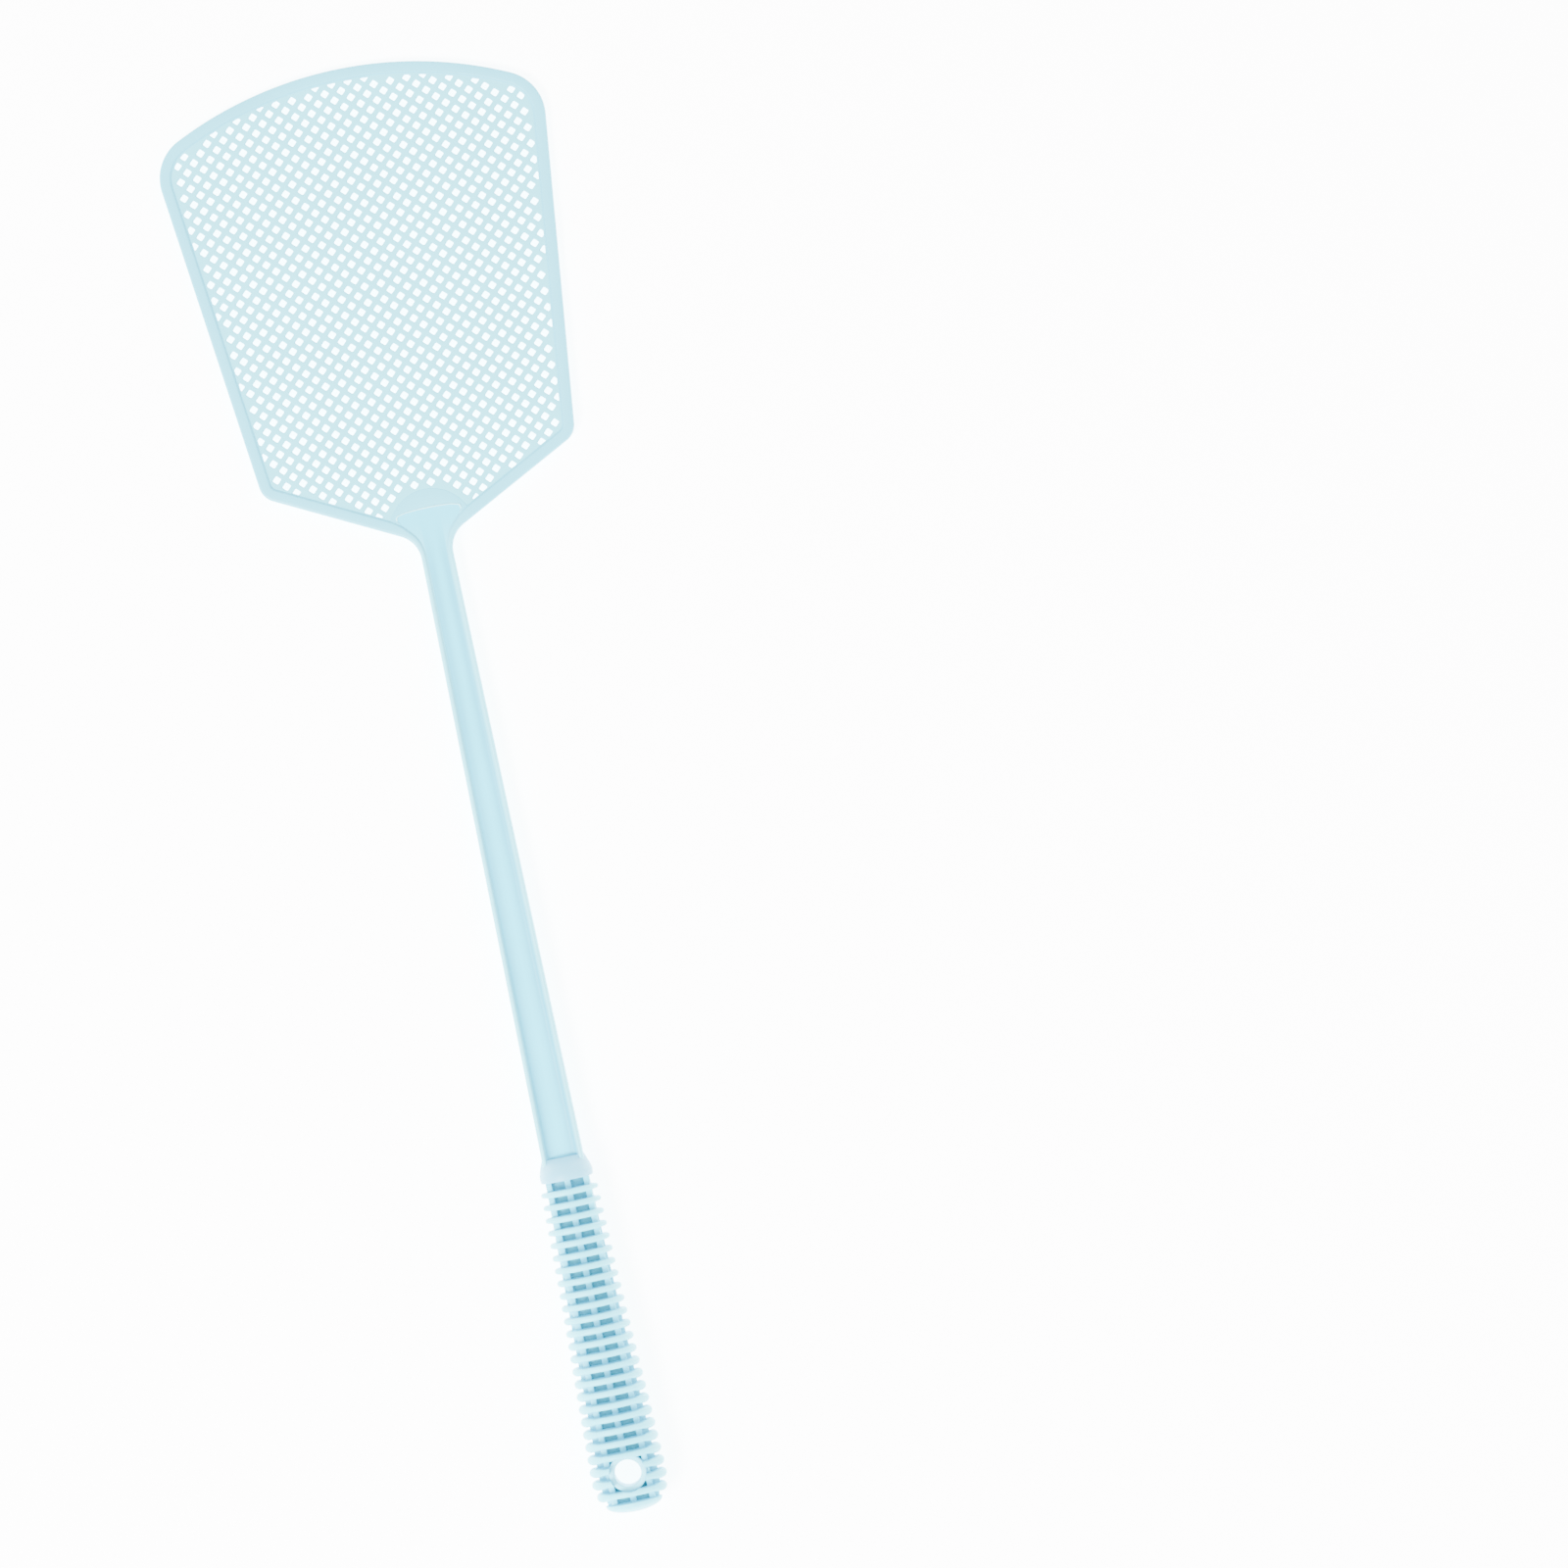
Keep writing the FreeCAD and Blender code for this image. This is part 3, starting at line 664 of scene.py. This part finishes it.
fan = Build()
rings = []
for deg in np.linspace(19, 161, 143):
    th = math.radians(deg)
    r0 = pan_radius(th) - 0.02
    prof = [(r0, 0.0), (r0, FAN_HALF_T - 0.12), (r0 + 0.04, FAN_HALF_T - 0.03), (r0 + 0.12, FAN_HALF_T),
            (r0 + (FAN_R - 0.42 - r0) * 0.5, FAN_HALF_T), (FAN_R - 0.42, FAN_HALF_T)]
    prof += [(FAN_R - 0.42 + 0.42 * math.sin(a), FAN_HALF_T - 0.42 * (1 - math.cos(a))) for a in np.radians([20, 40, 60, 80])]
    prof += [(FAN_R + 0.02, FAN_HALF_T - 0.5), (FAN_R + 0.02, 0.0)]
    whole = prof + [(r, -z) for r, z in reversed(prof[1:-1])]
    rings.append([(r * math.cos(th), FAN_CY + r * math.sin(th), z) for r, z in whole])
fan.loft(rings)
make("neck_gusset", fan.v, fan.f, ["neck_fan"])

bead = Build()
for side in (1, -1):
    rings = []
    for deg in np.linspace(27.5, 152.5, 126):
        th = math.radians(deg)
        r0 = pan_radius(th) + 0.02
        fade = min(1.0, (deg - 27.5) / 4 + 0.25, (152.5 - deg) / 4 + 0.25)
        prof = [(r0, FAN_HALF_T - 0.25)] + [(r0 + 0.275 - 0.275 * math.cos(a), FAN_HALF_T - 0.05 + 0.38 * fade * math.sin(a))
                                            for a in np.radians([8, 35, 65, 90, 115, 145, 172])] + [(r0 + 0.55, FAN_HALF_T - 0.25)]
        rings.append([(r * math.cos(th), FAN_CY + r * math.sin(th), side * z) for r, z in prof])
    bead.loft(rings)
make("pan_bead", bead.v, bead.f, ["neck_bead"])

# channel floor, tucked under the flanges, the fan and the collar
floor = Build()
rings = []
rows = [(pan_x(y) + 0.28, y) for y in list(np.linspace(90.5, 270.0, 37)) + list(np.linspace(271.0, 283.6, 30))]
rows += [(9.15, 284.5), (9.5, 285.4), (9.0, 286.3), (8.4, 286.8), (7.0, 287.15), (4.0, 287.3)]
for x, y in rows:
    rings.append([(x * k, y, WEB_HALF_T) for k in np.linspace(-1, 1, 9)] + [(x * k, y, -WEB_HALF_T) for k in np.linspace(1, -1, 9)])
floor.loft(rings)
make("channel_floor", floor.v, floor.f, ["shaft_web"])

# gate witness on the back
gate = Build()
prof = [(GATE_R, 0.65), (GATE_R, 0.95), (GATE_R - 0.06, 1.06), (GATE_R - 0.17, 1.10), (GATE_R - 0.28, 1.06),
        (GATE_R - 0.36, 0.98), (GATE_R - 0.5, 0.95), (1.2, 0.94), (0.5, 0.98), (0.32, 1.05), (0.0001, 1.07)]
rings = [[(r * math.cos(t), GATE_Y + r * math.sin(t), -z) for t in np.linspace(0, 2 * math.pi, 72, endpoint=False)]
         for r, z in prof]
gate.loft(rings)
make("gate_witness", gate.v, gate.f, ["gate_mark"])

# ---------------------------------------------------------------------- collar
col = Build()
rings = []
ys = [87.2, 87.24, 87.33, 87.48, 87.68] + list(np.linspace(87.9, 93.8, 34))
for y in ys:
    a, b = smooth_rows(COLLAR, y)
    if y < 87.9:
        k = (y - 87.2) / 0.7
        r = 0.42 * (1 - math.sqrt(max(0.0, 1 - (1 - k) ** 2)))
        a0, b0 = smooth_rows(COLLAR, 87.9)
        a, b = a0 - r, b0 - r
    rings.append(ellipse_ring(y, a, b, 120))
# crisp lip where the channel starts
a, b = smooth_rows(COLLAR, 93.62)
rings[-1:] = [ellipse_ring(93.66, a - 0.02, b - 0.03, 120), ellipse_ring(93.76, a - 0.09, b - 0.14, 120),
              ellipse_ring(93.8, a - 0.22, b - 0.30, 120)]
col.loft(rings)
make("collar_dome", col.v, col.f, ["collar"])


# ------------------------------------------------------------------------ grip
def web_half(y):
    return float(np.interp(y, [CAP_Y, -4.0, 2.0, COLLAR_Y0], [7.6, GRIP_WEB_LOW, GRIP_WEB_LOW, GRIP_WEB_HIGH]))


web = Build()
rings = []
for y in np.linspace(8.8, COLLAR_Y0 + 0.2, 60):
    w, t = web_half(y), WEB_HALF_T
    half = [(w, 0.0), (w - 0.02, t - 0.35)] + [(w - 0.37 + 0.35 * math.cos(a), t - 0.35 + 0.35 * math.sin(a)) for a in np.radians([30, 60, 90])] + [(w * 0.5, t)]
    loop = half + [(-x, z) for x, z in reversed(half)] + [(-x, -z) for x, z in half[1:]] + [(x, -z) for x, z in reversed(half[1:])]
    rings.append([(x, y, z) for x, z in loop])
web.loft(rings)
# round the bore
edge = []
for t in np.linspace(0, 2 * math.pi, 96, endpoint=False):
    ux, uy = math.cos(t), math.sin(t)
    s = min([(9.0 if uy > 0 else CAP_Y - 0.25) / uy if abs(uy) > 1e-6 else 1e9] + [1e9])
    lo, hi = 4.4, 14.0
    for _ in range(30):
        m = (lo + hi) / 2
        if m * abs(ux) < web_half(m * uy) - 0.01 and m < s:
            lo = m
        else:
            hi = m
    edge.append((lo, ux, uy))
rings = []
for fr, z in ((0, 0), (0, -0.8), (0.5, -0.8), (0.965, -0.8), (1.0, -0.5), (1.0, 0.5), (0.965, 0.8), (0.5, 0.8), (0, 0.8)):
    rings.append([((4.5 + (m - 4.5) * fr) * ux, (4.5 + (m - 4.5) * fr) * uy, z) for m, ux, uy in edge])
web.loft(rings, loop=True)
make("grip_floor", web.v, web.f, ["grip_web"])


def rib(b, x0, x1, y0, y1):
    r = 0.28
    w = (x1 - x0) / 2
    half = [(w, 0.0), (w - 0.06, RIB_HALF_T - r)]
    half += [(w - 0.06 - r + r * math.cos(a), RIB_HALF_T - r + r * math.sin(a)) for a in np.radians([22, 45, 68, 90])]
    half += [(0.0, RIB_HALF_T)]
    loop = half + [(-x, z) for x, z in reversed(half[:-1])] + [(-x, -z) for x, z in half[1:]] + [(x, -z) for x, z in reversed(half[1:-1])]
    c = (x0 + x1) / 2
    b.loft([[(c + x, y, z) for x, z in loop] for y in np.linspace(y0, y1, max(2, int((y1 - y0) / 3)))])


b = Build()
rib(b, -CENTRE_RIB, CENTRE_RIB, 4.6, COLLAR_Y0 + 0.2)
rib(b, -CENTRE_RIB, CENTRE_RIB, CAP_Y - 0.2, -4.6)
make("centre_rib", b.v, b.f, ["grip_centre_rib"])
for name, s in (("right", 1), ("left", -1)):
    b = Build()
    rib(b, *sorted((s * SIDE_RIB[0], s * SIDE_RIB[1])), CAP_Y - 0.2, COLLAR_Y0 + 0.2)
    make("side_rib_" + name, b.v, b.f, ["grip_side_rib_" + name])


def fin(b, y, a, d, n=112):
    """Disc whose thickness runs from the side ribs to its tips, with a rounded edge."""
    mid, tip = FIN_T / 2, table(FIN_TIP, y) / 2

    def half(x, z):
        k = min(1.0, max(0.0, (abs(x) - SIDE_RIB[1]) / (0.84 * a - SIDE_RIB[1])))
        return mid + (tip - mid) * k - 0.01 - 0.14 * (1 - k) * min(1.0, abs(z) / 2.2)

    ts = [2 * math.pi * k / n for k in range(n)]
    rim = [0.55 + (min(1.35, tip) - 0.55) * abs(math.cos(t)) ** 3 for t in ts]
    side = []
    for th in (0, 12, 26, 40, 55, 70, 84):
        c, s = math.cos(math.radians(th)), math.sin(math.radians(th))
        ring = []
        for t, r in zip(ts, rim):
            off = r * (1 - c)
            x, z = (a - off) * math.cos(t), (d - off) * math.sin(t)
            ring.append((x, half(x, z) * s, z))
        side.append(ring)
    for extra in (0.0, 0.5, 1.1, 1.8, 2.7, 3.8, 5.0):
        ring = []
        for t, r in zip(ts, rim):
            off = r + extra
            x, z = (a - off) * math.cos(t), (d - off) * math.sin(t)
            ring.append((x, half(x, z), z))
        side.append(ring)
    rings = [[(x, y - h, z) for x, h, z in ring] for ring in reversed(side)]
    rings += [[(x, y + h, z) for x, h, z in ring] for ring in side[1:]]
    b.loft(rings)


fins, eye = Build(), Build()
for k in range(FIN_COUNT):
    y = FIN_FIRST_Y - FIN_PITCH * k
    a, d = table(FIN_WIDTHS, y), table(FIN_DEPTHS, y)
    fin(eye if abs(y) < EYE_OUTER_R + 1.5 else fins, y, a - 0.004, d - 0.004)
make("fins", fins.v, fins.f, ["grip_fins"])

eye_ob = make("fins_at_eye", eye.v, eye.f, ["eye_fins"])
tool = Build()
tool.loft([[(5.42 * math.cos(t), 5.42 * math.sin(t), z) for t in np.linspace(0, 2 * math.pi, 128, endpoint=False)] for z in (-20, 20)])
me = bpy.data.meshes.new("cutter")
me.from_pydata([tuple(c * MM for c in p) for p in tool.v], [], tool.f)
cutter = bpy.data.objects.new("cutter", me)
bpy.context.scene.collection.objects.link(cutter)
bm = bmesh.new()
bm.from_mesh(me)
bmesh.ops.recalc_face_normals(bm, faces=bm.faces)
bm.to_mesh(me)
bm.free()
mod = eye_ob.modifiers.new("bore", "BOOLEAN")
mod.operation, mod.solver, mod.object = "DIFFERENCE", "EXACT", cutter
bpy.context.view_layer.update()
cut = bpy.data.meshes.new_from_object(eye_ob.evaluated_get(bpy.context.evaluated_depsgraph_get()))
eye_ob.modifiers.clear()
old = eye_ob.data
eye_ob.data = cut
cut.name = "fins_at_eye"
bpy.data.meshes.remove(old)
bpy.data.objects.remove(cutter)
cut.materials.clear()
cut.materials.append(FIN)
bm = bmesh.new()
bm.from_mesh(cut)
bmesh.ops.remove_doubles(bm, verts=bm.verts, dist=0.000004)
bm.to_mesh(cut)
bm.free()
cut.shade_smooth()
cut.set_sharp_from_angle(angle=math.radians(32))

# hang eye: ring with rounded lips and a bore that opens a little to both faces
ring = Build()
ro, ri, h = EYE_OUTER_R, EYE_BORE_R, EYE_HALF_T
prof = [(ri + 0.01, 0.0), (ri + 0.05, 2.0), (ri + 0.09, h - 0.42)]
prof += [(ri + 0.09 + 0.42 * (1 - math.cos(a)), h - 0.42 + 0.42 * math.sin(a)) for a in np.radians([18, 36, 54, 72, 90])]
prof += [(ro - 0.45, h)]
prof += [(ro - 0.45 + 0.45 * math.sin(a), h - 0.45 * (1 - math.cos(a))) for a in np.radians([18, 36, 54, 72, 90])]
prof += [(ro, 0.9), (ro, 0.0)]
prof = prof + [(r, -z) for r, z in reversed(prof[1:-1])]
ring.loft([[(r * math.cos(t), r * math.sin(t), z) for t in np.linspace(0, 2 * math.pi, 128, endpoint=False)] for r, z in prof], loop=True)
make("hang_ring", ring.v, ring.f, ["hang_eye"])

# end cap: domed closing plate
cap = Build()
rings = []
for y, k in ((CAP_Y, 0.955), (CAP_Y - 0.04, 0.975), (CAP_Y - 0.14, 0.992), (CAP_Y - 0.28, 0.9985)):
    rings.append(ellipse_ring(y, CAP_HALF_W * k, CAP_HALF_D * k, 120))
for u in np.linspace(8, 88, 22):
    s, c = math.sin(math.radians(u)), math.cos(math.radians(u))
    rings.append(ellipse_ring(CAP_Y - 0.28 - (CAP_LEN - 0.28) * s, CAP_HALF_W * c * 0.9985, CAP_HALF_D * c * 0.9985, 120))
cap.loft(rings)
make("grip_end_cap", cap.v, cap.f, ["end_cap"])

# --------------------------------------------------------------- stage and light
tilt = 0.01858
me = bpy.data.meshes.new("studio_floor")
size = 3.0
me.from_pydata([(x, y, (-7.66 + tilt * (y * 1000 - 88.7)) * MM) for x, y in ((-size, -size), (size, -size), (size, size), (-size, size))],
               [], [(0, 1, 2, 3)])
studio = bpy.data.objects.new("studio_floor", me)
bpy.context.scene.collection.objects.link(studio)
fm = bpy.data.materials.new("studio_white")
fm.use_nodes = True
fb = fm.node_tree.nodes["Principled BSDF"]
fb.inputs["Base Color"].default_value = (0.93, 0.93, 0.93, 1)
fb.inputs["Roughness"].default_value = 0.9
fb.inputs["Specular IOR Level"].default_value = 0.1
fb.inputs["Emission Color"].default_value = (1.0, 1.0, 1.0, 1)
fb.inputs["Emission Strength"].default_value = 8.0
# the floor has one side, so the back of the object can be looked at from below
ft = fm.node_tree
one = ft.nodes.new("ShaderNodeMixShader")
clear = ft.nodes.new("ShaderNodeBsdfTransparent")
facing = ft.nodes.new("ShaderNodeNewGeometry")
ft.links.new(facing.outputs["Backfacing"], one.inputs[0])
ft.links.new(fb.outputs["BSDF"], one.inputs[1])
ft.links.new(clear.outputs["BSDF"], one.inputs[2])
ft.links.new(one.outputs["Shader"], ft.nodes["Material Output"].inputs["Surface"])
me.materials.append(fm)

world = bpy.data.worlds.new("studio")
bpy.context.scene.world = world
world.use_nodes = True
bg = world.node_tree.nodes["Background"]
bg.inputs["Color"].default_value = (1.0, 1.0, 1.0, 1)
bg.inputs["Strength"].default_value = 3.1


def area_light(name, loc, target, sx, sy, power, colour=(1, 1, 1)):
    ld = bpy.data.lights.new(name, "AREA")
    ld.shape = "RECTANGLE"
    ld.size, ld.size_y = sx, sy
    ld.energy = power
    ld.color = colour
    ob = bpy.data.objects.new(name, ld)
    bpy.context.scene.collection.objects.link(ob)
    ob.location = loc
    d = np.array(target, float) - np.array(loc, float)
    from mathutils import Vector
    ob.rotation_euler = Vector(d).to_track_quat("-Z", "Y").to_euler()
    return ob


area_light("key", (-1.15, -0.7, 2.1), (0.05, 0.2, 0), 0.8, 0.8, 235)
area_light("fill", (1.6, -0.6, 1.8), (0.05, 0.2, 0), 1.6, 1.6, 20)

# ----------------------------------------------------------------------- camera
D = 1.85
cam_data = bpy.data.cameras.new("camera")
cam_data.sensor_width = 36.0
cam_data.lens = 36.0 * D / 0.4576
cam_data.clip_start = 0.05
cam_data.clip_end = 20.0
camera = bpy.data.objects.new("camera", cam_data)
bpy.context.scene.collection.objects.link(camera)
camera.location = (0.0854, 0.1872, D)
camera.rotation_euler = (0.0, 0.0, -math.radians(11.75))
bpy.context.scene.camera = camera
